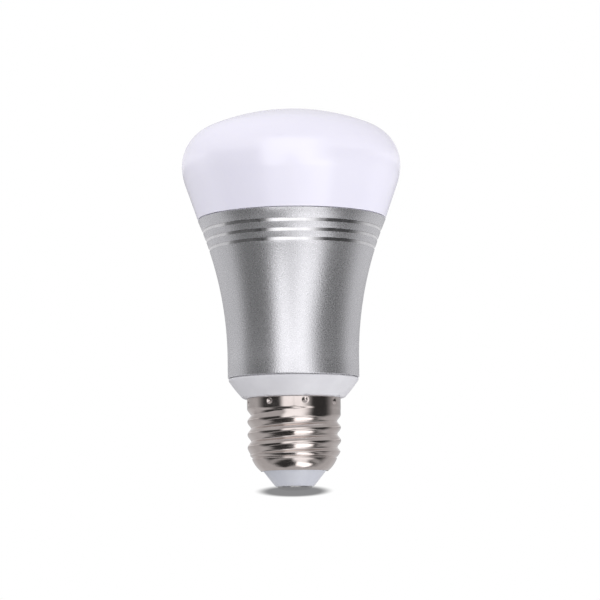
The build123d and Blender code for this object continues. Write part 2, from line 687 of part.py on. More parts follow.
# chips on the card's back: x, z, width, length, height, leads a side, pitch of the leads
RECTIFIER = (-1.0, 29.0, 4.0, 4.8, 2.4, 2, 2.6)
SUPPLY_CHIP = (-6.5, 47.0, 3.9, 4.9, 1.45, 4, 1.27)
LED_DRIVER = (5.5, 57.0, 3.9, 4.9, 1.45, 4, 1.27)
TRANSISTORS = [(-9.0 + 3.4 * i, 58.5, 1.3, 2.9, 1.0, 1, 1.0) for i in range(4)]
CHIP_GAP = 0.15
LEAD_THICKNESS = 0.2


def chip_body(x, z, width, length, height, *_):
    high_y = CARD_BACK - CHIP_GAP
    half_w, half_l = width / 2, length / 2
    return box_between((x - half_w, high_y - height, z - half_l), (x + half_w, high_y, z + half_l))


def gull_wing_leads(x, z, width, _, height, leads_a_side, pitch):
    """Bent leads along both long sides: an arm out of the body, a leg down and a foot on the card."""
    arm_y = CARD_BACK - CHIP_GAP - height / 2
    low_arm_y, foot_y = arm_y - LEAD_THICKNESS, CARD_BACK - LEAD_THICKNESS
    leads = []
    for side in (-1, 1):
        root, knee, shin, toe = [x + side * (width / 2 + d) for d in (0, 0.4, 0.4 + LEAD_THICKNESS, 0.95)]
        outline = Polyline(
            (root, arm_y), (knee, arm_y), (knee, CARD_BACK), (toe, CARD_BACK),
            (toe, foot_y), (shin, foot_y), (shin, low_arm_y), (root, low_arm_y), close=True,
        )
        lead = extrude(make_face(outline), amount=0.2, both=True, dir=(0, 0, 1))
        leads += [Pos(0, 0, z + (i - (leads_a_side - 1) / 2) * pitch) * lead for i in range(leads_a_side)]
    return leads


def bridge_rectifier():
    return chip_body(*RECTIFIER)


def power_supply_chip():
    return chip_body(*SUPPLY_CHIP)


def led_driver_chip():
    return chip_body(*LED_DRIVER)


def channel_transistors():
    return group([chip_body(*chip) for chip in TRANSISTORS])


def chip_leads():
    leads = []
    for chip in (RECTIFIER, SUPPLY_CHIP, LED_DRIVER, *TRANSISTORS):
        leads += gull_wing_leads(*chip)
    return group(leads)


def chip_resistors():
    places = [(-11.0 + 2.6 * i, 52.5) for i in range(4)] + [(0.5 + 2.6 * i, 45.0) for i in range(4)]
    places += [(0.5 + 2.6 * i, 49.0) for i in range(4)] + [(5.0, 36.0), (5.0, 39.5), (-6.0, 39.0)]
    chip = box_between((-0.6, CARD_BACK - 0.5, -1.0), (0.6, CARD_BACK, 1.0))
    return group([Pos(x, 0, z) * chip for x, z in places])


RESISTOR_X, RESISTOR_Y = 3.4, -6.6


def fusible_resistor():
    """The axial body with its two end caps, in line with the live wire."""
    x, y = RESISTOR_X, RESISTOR_Y
    body = rod(1.5, 15.0, 23.0, x, y)
    for z in (15.0, 21.2):
        body += rod(1.75, z, z + 1.8, x, y)
    return body


def resistor_lead():
    x, y = RESISTOR_X, RESISTOR_Y
    return wire_along([(x, y, 23.0), (x, y, 24.6), (x, CARD_BACK, 24.6)], [0.8], 0.3)


def live_wire():
    x, y = RESISTOR_X, RESISTOR_Y
    return wire_along([(0, 0, 8.2), (0, 0, 10.6), (x, y, 12.0), (x, y, 15.0)], [1.4, 1.2], 0.75)


def live_wire_core():
    return rod(0.4, INSULATOR_BASE_Z + 0.5, 8.2)


def on_neutral_side(r, z):
    """A point at a radius and height, in the plane of the neck's notch."""
    (x, y), = around(r, [NOTCH_ANGLE])
    return (x, y, z)


def neutral_wire():
    route = [(-3.6, CARD_BACK, 18.0), (-3.6, -5.8, 18.0), on_neutral_side(7.4, 14.0),
             on_neutral_side(7.4, NOTCH_WIRE_Z), on_neutral_side(8.6, NOTCH_WIRE_Z)]
    return wire_along(route, [1.0, 1.4, 0.9], NEUTRAL_R)


def neutral_wire_end():
    """The bare end, out through the neck's notch and up its groove, where the shell presses on it."""
    groove_r = NECK_R - 0.4
    route = [on_neutral_side(8.6, NOTCH_WIRE_Z), on_neutral_side(groove_r, NOTCH_WIRE_Z),
             on_neutral_side(groove_r, 15.0)]
    return wire_along(route, [0.8], NEUTRAL_R)


# ---------------------------------------------------------------- build
PARTS = [
    screw_shell, insulator, end_contact, driver_housing, heat_sink_sleeve, diffuser, diffuser_seal,
    heat_spreader_plate, thermal_pad, led_board, white_led_packages, white_led_phosphor,
    colour_led_packages, colour_led_lenses, led_board_screws, led_board_socket, header_pins, header_block,
    radio_board, radio_shield, radio_chip, radio_flash_chip, radio_antenna, radio_pins,
    driver_board, input_capacitor, output_capacitor, transformer_core, transformer_bobbin,
    transformer_winding, transformer_pins, choke_core, choke_winding, film_capacitor,
    capacitor_leads, bridge_rectifier, power_supply_chip, led_driver_chip, channel_transistors,
    chip_leads, chip_resistors, fusible_resistor, resistor_lead,
    live_wire, live_wire_core, neutral_wire, neutral_wire_end,
]


def main():
    os.makedirs("parts", exist_ok=True)
    for make in PARTS:
        export_step(make(), f"parts/{make.__name__}.step")


main()
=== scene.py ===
import json
from math import atan, atan2, cos, floor, hypot, pi, radians, sin, sqrt, tan

import bmesh
import bpy
from mathutils import Matrix, Vector


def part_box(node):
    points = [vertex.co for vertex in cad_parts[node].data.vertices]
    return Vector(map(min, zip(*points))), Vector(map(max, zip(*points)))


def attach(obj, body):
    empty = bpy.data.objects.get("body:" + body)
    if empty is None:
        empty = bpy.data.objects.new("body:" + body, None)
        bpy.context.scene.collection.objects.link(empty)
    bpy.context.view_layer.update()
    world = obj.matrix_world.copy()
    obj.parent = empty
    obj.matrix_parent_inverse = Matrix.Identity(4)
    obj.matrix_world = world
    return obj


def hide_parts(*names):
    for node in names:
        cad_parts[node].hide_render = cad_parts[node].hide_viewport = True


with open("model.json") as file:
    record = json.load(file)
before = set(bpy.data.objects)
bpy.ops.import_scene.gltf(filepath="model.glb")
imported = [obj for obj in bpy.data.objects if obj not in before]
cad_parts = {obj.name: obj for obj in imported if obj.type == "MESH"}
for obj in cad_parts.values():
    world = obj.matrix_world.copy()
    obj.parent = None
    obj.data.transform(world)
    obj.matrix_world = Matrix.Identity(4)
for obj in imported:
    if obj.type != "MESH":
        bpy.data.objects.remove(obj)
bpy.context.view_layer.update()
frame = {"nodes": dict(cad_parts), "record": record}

MM = 0.001


def box_mm(node):
    """Lowest and highest corner of a CAD node, in millimetres."""
    low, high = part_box(node)
    return low / MM, high / MM


# ---------------------------------------------------------------- camera
CAMERA_DISTANCE = 0.650  # along -Y from the lamp's axis
CAMERA_HEIGHT = -0.018  # a little below the end contact
CAMERA_PITCH = radians(6.26)
CAMERA_YAW = radians(-0.182)
CAMERA_ROLL = radians(-0.70)
SENSOR = 36.0  # mm
LENS = 139.476  # mm


def make_camera():
    data = bpy.data.cameras.new("camera")
    data.sensor_width = SENSOR
    data.lens = LENS
    camera = bpy.data.objects.new("camera", data)
    camera.location = (0, -CAMERA_DISTANCE, CAMERA_HEIGHT)
    aim = Matrix.Rotation(CAMERA_YAW, 4, "Z") @ Matrix.Rotation(pi / 2 + CAMERA_PITCH, 4, "X")
    camera.rotation_euler = (aim @ Matrix.Rotation(CAMERA_ROLL, 4, "Z")).to_euler()
    bpy.context.scene.collection.objects.link(camera)
    bpy.context.scene.camera = camera


# ---------------------------------------------------------------- node helpers
class Nodes:
    """A short way to wire shader nodes."""

    def __init__(self, tree):
        self.tree = tree
        tree.nodes.clear()

    def add(self, kind, **settings):
        node = self.tree.nodes.new(kind)
        for name, value in settings.items():
            setattr(node, name, value)
        return node

    def feed(self, node, socket, value):
        """Sets a socket, or links it when the value is another node's socket."""
        target = node.inputs[socket]
        if isinstance(value, bpy.types.NodeSocket):
            self.tree.links.new(value, target)
        else:
            target.default_value = value

    def math(self, operation, a, b=0.0, clamp=False):
        node = self.add("ShaderNodeMath", operation=operation, use_clamp=clamp)
        self.feed(node, 0, a)
        self.feed(node, 1, b)
        return node.outputs[0]

    def ramp(self, value, low, high, out_low=0.0, out_high=1.0, smooth=True):
        """Carries value from low..high to out_low..out_high, held at both ends."""
        kind = "SMOOTHSTEP" if smooth else "LINEAR"
        node = self.add("ShaderNodeMapRange", interpolation_type=kind)
        for socket, number in enumerate((value, low, high, out_low, out_high)):
            self.feed(node, socket, number)
        return node.outputs[0]

    def mix(self, factor, a, b):
        """A colour between a and b."""
        node = self.add("ShaderNodeMix", data_type="RGBA")
        self.feed(node, 0, factor)
        self.feed(node, 6, a)
        self.feed(node, 7, b)
        return node.outputs[2]

    def place(self):
        """The point's own coordinates in the shared frame, in metres."""
        return self.add("ShaderNodeTexCoord").outputs["Object"]

    def noise(self, scale, detail=2.0, vector=None):
        node = self.add("ShaderNodeTexNoise")
        self.feed(node, "Vector", self.place() if vector is None else vector)
        self.feed(node, "Scale", scale)
        self.feed(node, "Detail", detail)
        return node.outputs[0]

    def bump(self, height, distance, strength=1.0, normal=None):
        node = self.add("ShaderNodeBump")
        self.feed(node, "Height", height)
        self.feed(node, "Distance", distance)
        self.feed(node, "Strength", strength)
        if normal is not None:
            self.feed(node, "Normal", normal)
        return node.outputs[0]


def rgb(r, g, b):
    return (r, g, b, 1.0)


def scaled(colour, share):
    return tuple(min(1.0, c * share) for c in colour[:3]) + (1.0,)


def new_material(name):
    material = bpy.data.materials.new(name)
    material.use_nodes = True
    nodes = Nodes(material.node_tree)
    shader = nodes.add("ShaderNodeBsdfPrincipled")
    output = nodes.add("ShaderNodeOutputMaterial")
    nodes.feed(output, "Surface", shader.outputs[0])
    return material, nodes, shader


# ---------------------------------------------------------------- materials of the outside
# The lower colour is painted shade on the diffuser's foot. The upper colour is painted light at its top,
# and is also the colour of the cloudiness.
OPAL_SHADED_LOW = rgb(0.775, 0.76, 0.875)
OPAL_LIT_TOP_AND_CLOUD = rgb(0.82, 0.80, 0.91)
PLASTIC_SCATTER = (0.9, 0.9, 1.0)  # how far each colour travels, as a share of the subsurface scale


def opal_plastic():
    """Milky polycarbonate: a faint cloudiness, painted light and shade that make it darker at the foot and
    lighter towards the top, with a soft sheen.
    """
    material, nodes, shader = new_material("opal_polycarbonate")
    split = nodes.add("ShaderNodeSeparateXYZ")
    nodes.feed(split, 0, nodes.place())
    low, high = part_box("diffuser")
    # Painted light and shade: the colour goes from darker at the foot to lighter at the top.
    painted_top_light = nodes.ramp(split.outputs[2], low.z + 0.006, high.z - 0.002)
    painted_light_tint = nodes.mix(painted_top_light, OPAL_SHADED_LOW, OPAL_LIT_TOP_AND_CLOUD)
    cloud = nodes.ramp(nodes.noise(60.0, 3.0), 0.35, 0.65, 0.0, 0.35)
    nodes.feed(shader, "Base Color", nodes.mix(cloud, painted_light_tint, OPAL_LIT_TOP_AND_CLOUD))
    nodes.feed(shader, "Roughness", nodes.ramp(nodes.noise(900.0), 0.3, 0.7, 0.17, 0.22))
    nodes.feed(shader, "IOR", 1.65)
    nodes.feed(shader, "Specular IOR Level", 1.0)
    nodes.feed(shader, "Subsurface Weight", 0.2)
    nodes.feed(shader, "Subsurface Radius", PLASTIC_SCATTER)
    nodes.feed(shader, "Subsurface Scale", 0.0005)
    nodes.feed(shader, "Normal", nodes.bump(nodes.noise(1500.0), 0.00001, 0.35))
    return material


def blasted_aluminium():
    """Bead-blasted aluminium: overlapping sub-millimetre dimples that sparkle, over a soft even sheen."""
    material, nodes, shader = new_material("blasted_aluminium")
    dimples = nodes.add("ShaderNodeTexVoronoi", feature="SMOOTH_F1")
    nodes.feed(dimples, "Vector", nodes.place())
    nodes.feed(dimples, "Scale", 3600.0)
    grain = nodes.noise(3600.0, 2.0)
    tone = nodes.ramp(grain, 0.3, 0.7, 0.0, 1.0, smooth=False)
    nodes.feed(shader, "Base Color", nodes.mix(tone, rgb(0.765, 0.765, 0.79), rgb(0.825, 0.825, 0.85)))
    nodes.feed(shader, "Metallic", 0.88)
    nodes.feed(shader, "Roughness", nodes.ramp(nodes.noise(2200.0, 2.0), 0.3, 0.7, 0.26, 0.31))
    coarse = nodes.bump(grain, 0.00004, 0.6)
    nodes.feed(shader, "Normal", nodes.bump(dimples.outputs[0], 0.00005, 0.4, coarse))
    return material


def bright_cut():
    """The grooves' diamond-cut faces: a near mirror with the fine rings that the tool leaves."""
    material, nodes, shader = new_material("bright_cut_aluminium")
    rings = nodes.add("ShaderNodeTexWave", bands_direction="Z", wave_profile="SIN")
    nodes.feed(rings, "Vector", nodes.place())
    nodes.feed(rings, "Scale", 2600.0)
    nodes.feed(rings, "Distortion", 0.4)
    tone = nodes.ramp(nodes.noise(350.0), 0.3, 0.7)
    nodes.feed(shader, "Base Color", nodes.mix(tone, rgb(0.78, 0.78, 0.79), rgb(0.86, 0.86, 0.87)))
    nodes.feed(shader, "Metallic", 1.0)
    nodes.feed(shader, "Roughness", nodes.ramp(nodes.noise(1200.0), 0.3, 0.7, 0.14, 0.20))
    nodes.feed(shader, "Normal", nodes.bump(rings.outputs[0], 0.000004, 0.3))
    return material


def white_moulding(name, light, dark, low_rough, high_rough):
    """Moulded white plastic: an even fine texture with a trace of flow mottling."""
    material, nodes, shader = new_material(name)
    mottle = nodes.ramp(nodes.noise(220.0, 3.0), 0.35, 0.65)
    nodes.feed(shader, "Base Color", nodes.mix(mottle, light, dark))
    nodes.feed(shader, "Roughness", nodes.ramp(nodes.noise(1400.0), 0.3, 0.7, low_rough, high_rough))
    nodes.feed(shader, "Subsurface Weight", 0.12)
    nodes.feed(shader, "Subsurface Radius", PLASTIC_SCATTER)
    nodes.feed(shader, "Subsurface Scale", 0.0015)
    nodes.feed(shader, "Normal", nodes.bump(nodes.noise(2600.0), 0.00002, 0.35))
    return material


def nickel_plate():
    """Bright nickel over rolled brass: warm, mirror-like, with faint rolling lines and handling haze."""
    material, nodes, shader = new_material("nickel_plate")
    haze = nodes.noise(160.0, 4.0)
    stretch = nodes.add("ShaderNodeMapping")
    nodes.feed(stretch, "Vector", nodes.place())
    nodes.feed(stretch, "Scale", (40.0, 40.0, 2200.0))
    lines = nodes.noise(1.0, 2.0, stretch.outputs[0])
    tone = nodes.ramp(haze, 0.3, 0.7)
    nodes.feed(shader, "Base Color", nodes.mix(tone, rgb(0.64, 0.575, 0.545), rgb(0.74, 0.68, 0.645)))
    nodes.feed(shader, "Metallic", 1.0)
    nodes.feed(shader, "Roughness", nodes.ramp(haze, 0.3, 0.75, 0.10, 0.19))
    nodes.feed(shader, "Normal", nodes.bump(lines, 0.00001, 0.25))
    return material


# ---------------------------------------------------------------- materials of the inside
METALS = {  # lowest and highest roughness of each class
    "aluminium": (0.26, 0.40),
    "chrome": (0.10, 0.20),
    "brushed_steel": (0.22, 0.36),
    "brass": (0.20, 0.32),
}
DULLNESS = {"gloss_plastic": 0.24, "matte_plastic": 0.48, "rubber": 0.62, "ceramic": 0.55}
BOARDS = {"led_board_mask", "radio_board_mask", "driver_board_mask"}
WOUND = {"winding_tape", "enamelled_copper"}


def slot_material(slot):
    """A new material for a slot of the record, and the slot's colour."""
    return *new_material(slot["slot"]), rgb(*slot["base_color"][:3])


def inner_metal(slot):
    """Drawn or rolled metal, with streaks along the lamp's axis and small tarnish clouds."""
    material, nodes, shader, colour = slot_material(slot)
    stretch = nodes.add("ShaderNodeMapping")
    nodes.feed(stretch, "Vector", nodes.place())
    nodes.feed(stretch, "Scale", (1500.0, 1500.0, 120.0))
    streaks = nodes.noise(1.0, 3.0, stretch.outputs[0])
    low, high = METALS[slot["class"]]
    nodes.feed(shader, "Base Color", nodes.mix(streaks, scaled(colour, 0.82), scaled(colour, 1.1)))
    nodes.feed(shader, "Metallic", 1.0)
    nodes.feed(shader, "Roughness", nodes.ramp(nodes.noise(500.0, 3.0), 0.3, 0.7, low, high))
    nodes.feed(shader, "Normal", nodes.bump(streaks, 0.00002, 0.4))
    return material


def circuit_board(slot):
    """Solder mask over glass cloth: the weave just shows, and the mask is darker over the laminate."""
    material, nodes, shader, colour = slot_material(slot)
    across = nodes.add("ShaderNodeTexWave", bands_direction="X")
    along = nodes.add("ShaderNodeTexWave", bands_direction="Z")
    for wave in (across, along):
        nodes.feed(wave, "Vector", nodes.place())
        nodes.feed(wave, "Scale", 420.0)
        nodes.feed(wave, "Distortion", 0.6)
    weave = nodes.math("MULTIPLY", across.outputs[1], along.outputs[1])
    patches = nodes.ramp(nodes.noise(300.0, 1.0), 0.48, 0.52, 0.0, 0.6)
    tone = nodes.math("ADD", nodes.math("MULTIPLY", weave, 0.3), patches, clamp=True)
    nodes.feed(shader, "Base Color", nodes.mix(tone, scaled(colour, 0.8), scaled(colour, 1.12)))
    nodes.feed(shader, "Roughness", nodes.ramp(nodes.noise(900.0), 0.3, 0.7, 0.24, 0.36))
    nodes.feed(shader, "Normal", nodes.bump(weave, 0.00003, 0.4))
    return material


def wound_coil(slot):
    """Turns of wire, or tape drawn over them: close ridges round the coil."""
    material, nodes, shader, colour = slot_material(slot)
    turns = nodes.add("ShaderNodeTexWave", bands_direction="Y")
    nodes.feed(turns, "Vector", nodes.place())
    nodes.feed(turns, "Scale", 700.0)
    nodes.feed(turns, "Distortion", 0.5)
    nodes.feed(shader, "Base Color", nodes.mix(turns.outputs[1], scaled(colour, 0.7), scaled(colour, 1.15)))
    nodes.feed(shader, "Metallic", 0.8 if slot["slot"] == "enamelled_copper" else 0.0)
    nodes.feed(shader, "Roughness", nodes.ramp(nodes.noise(800.0), 0.3, 0.7, 0.28, 0.42))
    nodes.feed(shader, "Normal", nodes.bump(turns.outputs[1], 0.00008, 0.6))
    return material


def inner_plastic(slot):
    """Moulded plastic, rubber or ceramic: fine grain and mottling, duller where the class is dull."""
    material, nodes, shader, colour = slot_material(slot)
    base = DULLNESS[slot["class"]]
    grain = nodes.noise(1800.0, 3.0)
    mottle = nodes.ramp(nodes.noise(260.0, 3.0), 0.3, 0.7)
    nodes.feed(shader, "Base Color", nodes.mix(mottle, scaled(colour, 0.86), scaled(colour, 1.08)))
    nodes.feed(shader, "Roughness", nodes.ramp(grain, 0.3, 0.7, base - 0.05, base + 0.08))
    nodes.feed(shader, "Normal", nodes.bump(grain, 0.00003, 0.4))
    if slot["slot"] == "clear_lens":
        nodes.feed(shader, "Transmission Weight", 0.85)
        nodes.feed(shader, "IOR", 1.52)
    return material


def inner_material(slot):
    if slot["slot"] in BOARDS:
        return circuit_board(slot)
    if slot["slot"] in WOUND:
        return wound_coil(slot)
    if slot["class"] in METALS:
        return inner_metal(slot)
    return inner_plastic(slot)


# ---------------------------------------------------------------- mesh helpers
ON_AXIS_R = 1e-6  # mm
WELD_DISTANCE = 1e-8  # m


def spaced(start, end, count):
    """count even steps from start towards end, without end itself."""
    return [start + (end - start) * i / count for i in range(count)]


def arc(centre, radius, start, end, count):
    """Points on an arc in the (radius, height) plane, both ends included. Angles are in radians."""
    steps = [start + (end - start) * i / (count - 1) for i in range(count)]
    return [(centre[0] + radius * cos(a), centre[1] + radius * sin(a)) for a in steps]


def rounded(corners, steps=5):
    """A closed outline from (radius, height, fillet) corners, with the fillets drawn as arcs."""
    points = []
    for i, (r, z, fillet) in enumerate(corners):
        here = Vector((r, z))
        if not fillet:
            points.append((r, z))
            continue
        before = (Vector(corners[i - 1][:2]) - here).normalized()
        after = (Vector(corners[(i + 1) % len(corners)][:2]) - here).normalized()
        half = before.angle(after) / 2
        centre = here + (before + after).normalized() * (fillet / sin(half))
        start = here + before * (fillet / tan(half)) - centre
        end = here + after * (fillet / tan(half)) - centre
        turn = (atan2(end.y, end.x) - atan2(start.y, start.x) + pi) % (2 * pi) - pi
        first = atan2(start.y, start.x)
        points += arc(centre, fillet, first, first + turn, steps)
    return points


def finish_mesh(mesh_data, sharp_above):
    """Turns normals outwards, shades smooth, and marks the edges that stay crisp."""
    mesh = bmesh.new()
    mesh.from_mesh(mesh_data)
    bmesh.ops.remove_doubles(mesh, verts=mesh.verts, dist=WELD_DISTANCE)
    bmesh.ops.recalc_face_normals(mesh, faces=mesh.faces)
    for face in mesh.faces:
        face.smooth = True
    for edge in mesh.edges:
        edge.smooth = edge.calc_face_angle(0.0) < sharp_above
    mesh.to_mesh(mesh_data)
    mesh.free()


def new_piece(name, vertices, faces, materials, node, paint=None, sharp_above=radians(35)):
    """A mesh piece that stands for a CAD node. paint gives a face's material from its centre."""
    data = bpy.data.meshes.new(name)
    data.from_pydata([Vector(v) * MM for v in vertices], [], faces)
    for material in materials:
        data.materials.append(material)
    finish_mesh(data, sharp_above)
    if paint:
        for polygon in data.polygons:
            x, y, z = polygon.center / MM
            polygon.material_index = paint(hypot(x, y), z)
    piece = bpy.data.objects.new(name, data)
    bpy.context.scene.collection.objects.link(piece)
    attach(piece, "root")
    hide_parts(node)


def lathe(outline, segments):
    """Vertices and faces of a closed outline turned about Z. A point on the axis becomes one vertex."""
    vertices = []
    rings = []
    for r, z in outline:
        if r < ON_AXIS_R:
            rings.append([len(vertices)] * segments)
            vertices.append((0, 0, z))
            continue
        rings.append(list(range(len(vertices), len(vertices) + segments)))
        for i in range(segments):
            a = 2 * pi * i / segments
            vertices.append((r * cos(a), r * sin(a), z))
    faces = []
    for one, two in zip(rings, rings[1:] + rings[:1]):
        for i in range(segments):
            j = (i + 1) % segments
            corners = list(dict.fromkeys((one[i], one[j], two[j], two[i])))
            if len(corners) > 2:
                faces.append(corners)
    return vertices, faces


# ---------------------------------------------------------------- diffuser
FLANK_SLOPE = 0.35
WAIST_ARC_R = 15.0
SHOULDER_ARC_R = 11.6
DIFFUSER_WIDEST_Z = 91.3
DIFFUSER_WALL = 1.5
SKIRT_R = 24.8
SKIRT_WALL = 1.3
SNAP_Z = 1.0  # middle of the snap ridge over the skirt's foot
SNAP_HALF = 0.35
SNAP_DEPTH = 0.25
SKIRT_TURN_Z = 2.7  # from here up the inside of the skirt leans out to the flank
INSIDE_START_Z = 4.7  # where the inner flank starts over the skirt's foot
RIM_GAP = 0.15  # between the rim and the sleeve
RIM_EDGE = 0.3
FLANK_STEPS = 8
WAIST_STEPS = 14
SHOULDER_STEPS = 26
DOME_STEPS = 30
LATHE_SEGMENTS = 288


def dome_points(inset, low_z):
    """Points up the diffuser's side, moved in by inset: straight flank, waist, shoulder and dome."""
    widest_r, _, top_z = box_mm("diffuser")[1]
    flank = atan(FLANK_SLOPE)
    drop = top_z - DIFFUSER_WIDEST_Z
    shoulder_r = widest_r - SHOULDER_ARC_R
    dome_r = (shoulder_r ** 2 + drop ** 2 - SHOULDER_ARC_R ** 2) / (2 * (drop - SHOULDER_ARC_R))
    crown = (0.0, top_z - dome_r)
    meet = atan2(DIFFUSER_WIDEST_Z - crown[1], shoulder_r)
    waist_centre = (widest_r - WAIST_ARC_R, DIFFUSER_WIDEST_Z)
    waist = arc(waist_centre, WAIST_ARC_R - inset, -flank, 0.0, WAIST_STEPS)
    shoulder = arc((shoulder_r, DIFFUSER_WIDEST_Z), SHOULDER_ARC_R - inset, 0.0, meet, SHOULDER_STEPS)
    dome = arc(crown, dome_r - inset, meet, pi / 2, DOME_STEPS)
    flank_r, flank_z = waist[0]
    foot_r = flank_r - FLANK_SLOPE * (flank_z - low_z)
    flank_points = list(zip(spaced(foot_r, flank_r, FLANK_STEPS), spaced(low_z, flank_z, FLANK_STEPS)))
    return flank_points + waist + shoulder[1:] + dome[1:-1] + [(0.0, top_z - inset)]


def make_diffuser():
    foot_z = box_mm("diffuser")[0].z
    rim_z = box_mm("heat_sink_sleeve")[1].z + RIM_GAP
    outer = dome_points(0.0, rim_z + RIM_EDGE)
    inner = dome_points(DIFFUSER_WALL, foot_z + INSIDE_START_Z)
    snap_z = foot_z + SNAP_Z
    under = rounded([
        (*inner[0], 0), (SKIRT_R - SKIRT_WALL, foot_z + SKIRT_TURN_Z, 0.4),
        (SKIRT_R - SKIRT_WALL, foot_z, 0.2), (SKIRT_R, foot_z, 0.2), (SKIRT_R, snap_z - SNAP_HALF, 0),
        (SKIRT_R + SNAP_DEPTH, snap_z, 0), (SKIRT_R, snap_z + SNAP_HALF, 0), (SKIRT_R, rim_z, 0),
        (outer[0][0] - RIM_EDGE * FLANK_SLOPE, rim_z, 0.18), (*outer[0], 0),
    ])
    vertices, faces = lathe(outer + inner[::-1] + under[1:-1], LATHE_SEGMENTS)
    new_piece("opal_diffuser", vertices, faces, [opal_plastic()], "diffuser")


# ---------------------------------------------------------------- aluminium sleeve
SLEEVE_FOOT_R = 18.43
SLEEVE_BORE_R = 17.15
SLEEVE_WALL = 1.2
FLARE_START_Z = 36.5
FLARE_R = 100.5
FLARE_STEP = 1.5
GROOVE_Z = (67.25, 69.7, 72.25)
GROOVE_HEIGHT = 0.9
GROOVE_DEPTH = 0.06
GROOVE_EDGE = 0.03
SEAT_R = 24.85  # the seat of the diffuser's skirt; depths are below the sleeve's top
SEAT_DEPTH = 3.0
SNAP_GROOVE_R = 25.15
SNAP_GROOVE_DEPTHS = (1.3, 1.7, 2.1)  # of its top, middle and foot
SEAL_STEP = (23.65, 4.8)  # radius, and depth of its floor
PLATE_STEP = (22.2, 6.4)
INNER_WALL_Z = (68.6, 42.0)  # the inner wall follows the flare between these heights
INNER_WALL_STEPS = 10
BORE_TAPER = 1.0


def sleeve_radius(z, inset=0.0):
    """The sleeve's outside radius at a height, moved in by inset."""
    rise = max(0.0, z - FLARE_START_Z)
    return SLEEVE_FOOT_R + FLARE_R - sqrt(FLARE_R ** 2 - rise ** 2) - inset


def sleeve_outside(low_z, high_z):
    """Corners up the outside: a straight foot, then the flare with its upright-faced grooves."""
    side = [(SLEEVE_FOOT_R, low_z, 0.2), (SLEEVE_FOOT_R, FLARE_START_Z, 0)]
    z = FLARE_START_Z
    for groove in GROOVE_Z + (high_z,):
        while z + FLARE_STEP < groove:
            z += FLARE_STEP
            side.append((sleeve_radius(z), z, 0))
        if groove == high_z:
            break
        top = groove + GROOVE_HEIGHT
        face_r = sleeve_radius(groove) - GROOVE_DEPTH
        side += [(sleeve_radius(groove), groove, GROOVE_EDGE), (face_r, groove + GROOVE_EDGE, 0),
                 (face_r, top - GROOVE_EDGE, 0), (sleeve_radius(top), top, GROOVE_EDGE)]
        z = top
    return side


def sleeve_inside(low_z, high_z):
    """Corners down the inside: diffuser seat, seal and plate steps, flared wall, and bore."""
    snap = zip((SEAT_R, SNAP_GROOVE_R, SEAT_R), SNAP_GROOVE_DEPTHS)
    seal_r, seal_depth = SEAL_STEP
    plate_r, plate_depth = PLATE_STEP
    inside = [(sleeve_radius(high_z), high_z, 0.15), (SEAT_R, high_z, 0.1)]
    inside += [(r, high_z - depth, 0) for r, depth in snap]
    inside += [
        (SEAT_R, high_z - SEAT_DEPTH, 0), (seal_r, high_z - SEAT_DEPTH, 0),
        (seal_r, high_z - seal_depth, 0), (plate_r, high_z - seal_depth, 0.1),
        (plate_r, high_z - plate_depth, 0),
    ]
    wall_top, wall_foot = INNER_WALL_Z
    heights = spaced(wall_top, wall_foot, INNER_WALL_STEPS) + [wall_foot]
    inside += [(sleeve_radius(z, SLEEVE_WALL), z, 0) for z in heights]
    return inside + [(SLEEVE_BORE_R, wall_foot - BORE_TAPER, 0), (SLEEVE_BORE_R, low_z, 0.1)]


def make_sleeve():
    low, high = box_mm("heat_sink_sleeve")
    outline = rounded(sleeve_outside(low.z, high.z) + sleeve_inside(low.z, high.z))
    vertices, faces = lathe(outline, LATHE_SEGMENTS)

    def paint(r, z):
        """The grooves are bright cut, and the rest is blasted."""
        outside = r > sleeve_radius(z, SLEEVE_WALL / 2)
        return int(outside and any(g <= z <= g + GROOVE_HEIGHT for g in GROOVE_Z))

    new_piece("aluminium_sleeve", vertices, faces, [blasted_aluminium(), bright_cut()],
              "heat_sink_sleeve", paint, radians(25))


# ---------------------------------------------------------------- screw shell
THREAD_PITCH = 25.4 / 7
CREST_R = 13.05
ROOT_R = 12.05
CREST_START_Z = 10.04
SHELL_WALL = 0.35
BAND_R = 13.1
BAND_CHAMFER = 0.1
CREST_FULLNESS = 0.74  # below 1, the crests are fuller than the roots
THREAD_START = (-0.64, -0.44)  # in turns from the +X side
THREAD_END = (2.5, 2.88)
LOWER_END = (  # (radius, height) up the conical end, with the small groove above it
    (9.4, 5.3), (9.96, 5.8), (10.34, 6.2), (10.96, 7.0), (11.44, 7.8), (11.74, 8.4), (11.82, 8.66),
    (11.68, 8.98), (12.08, 9.3), (12.5, 9.9), (12.85, 10.6), (13.05, 11.4),
)
LOWER_BLEND = 0.12  # width of the rounding where the conical end meets the thread
BAND_START = (21.9, 22.9)
STAKE_COUNT = 8
STAKE_ANGLE = radians(-76.0)
STAKE_Z = 24.4
STAKE_R = 0.72
STAKE_DEPTH = 0.5
STAKE_BOWL = 0.55  # how fast the dent's floor rises from its middle
STAKE_RIM = 0.035
STAKE_RIM_AT = 1.75  # in punch radii
STAKE_RIM_SHARPNESS = 6
SHELL_SEGMENTS = 432
THREAD_ROWS_Z = (11.0, 20.6)  # the rows are closest between these heights
OUTER_ROWS = (60, 84, 38)  # counts below the thread, over it, and up the band
INNER_ROWS = ((0.22, 12), (0.32, 30), (0.6, 9))  # steps and counts behind the band, thread and cone
INNER_BAND_DEPTH = 0.9  # of the first row behind the band
INNER_CONE_DEPTH = 0.1


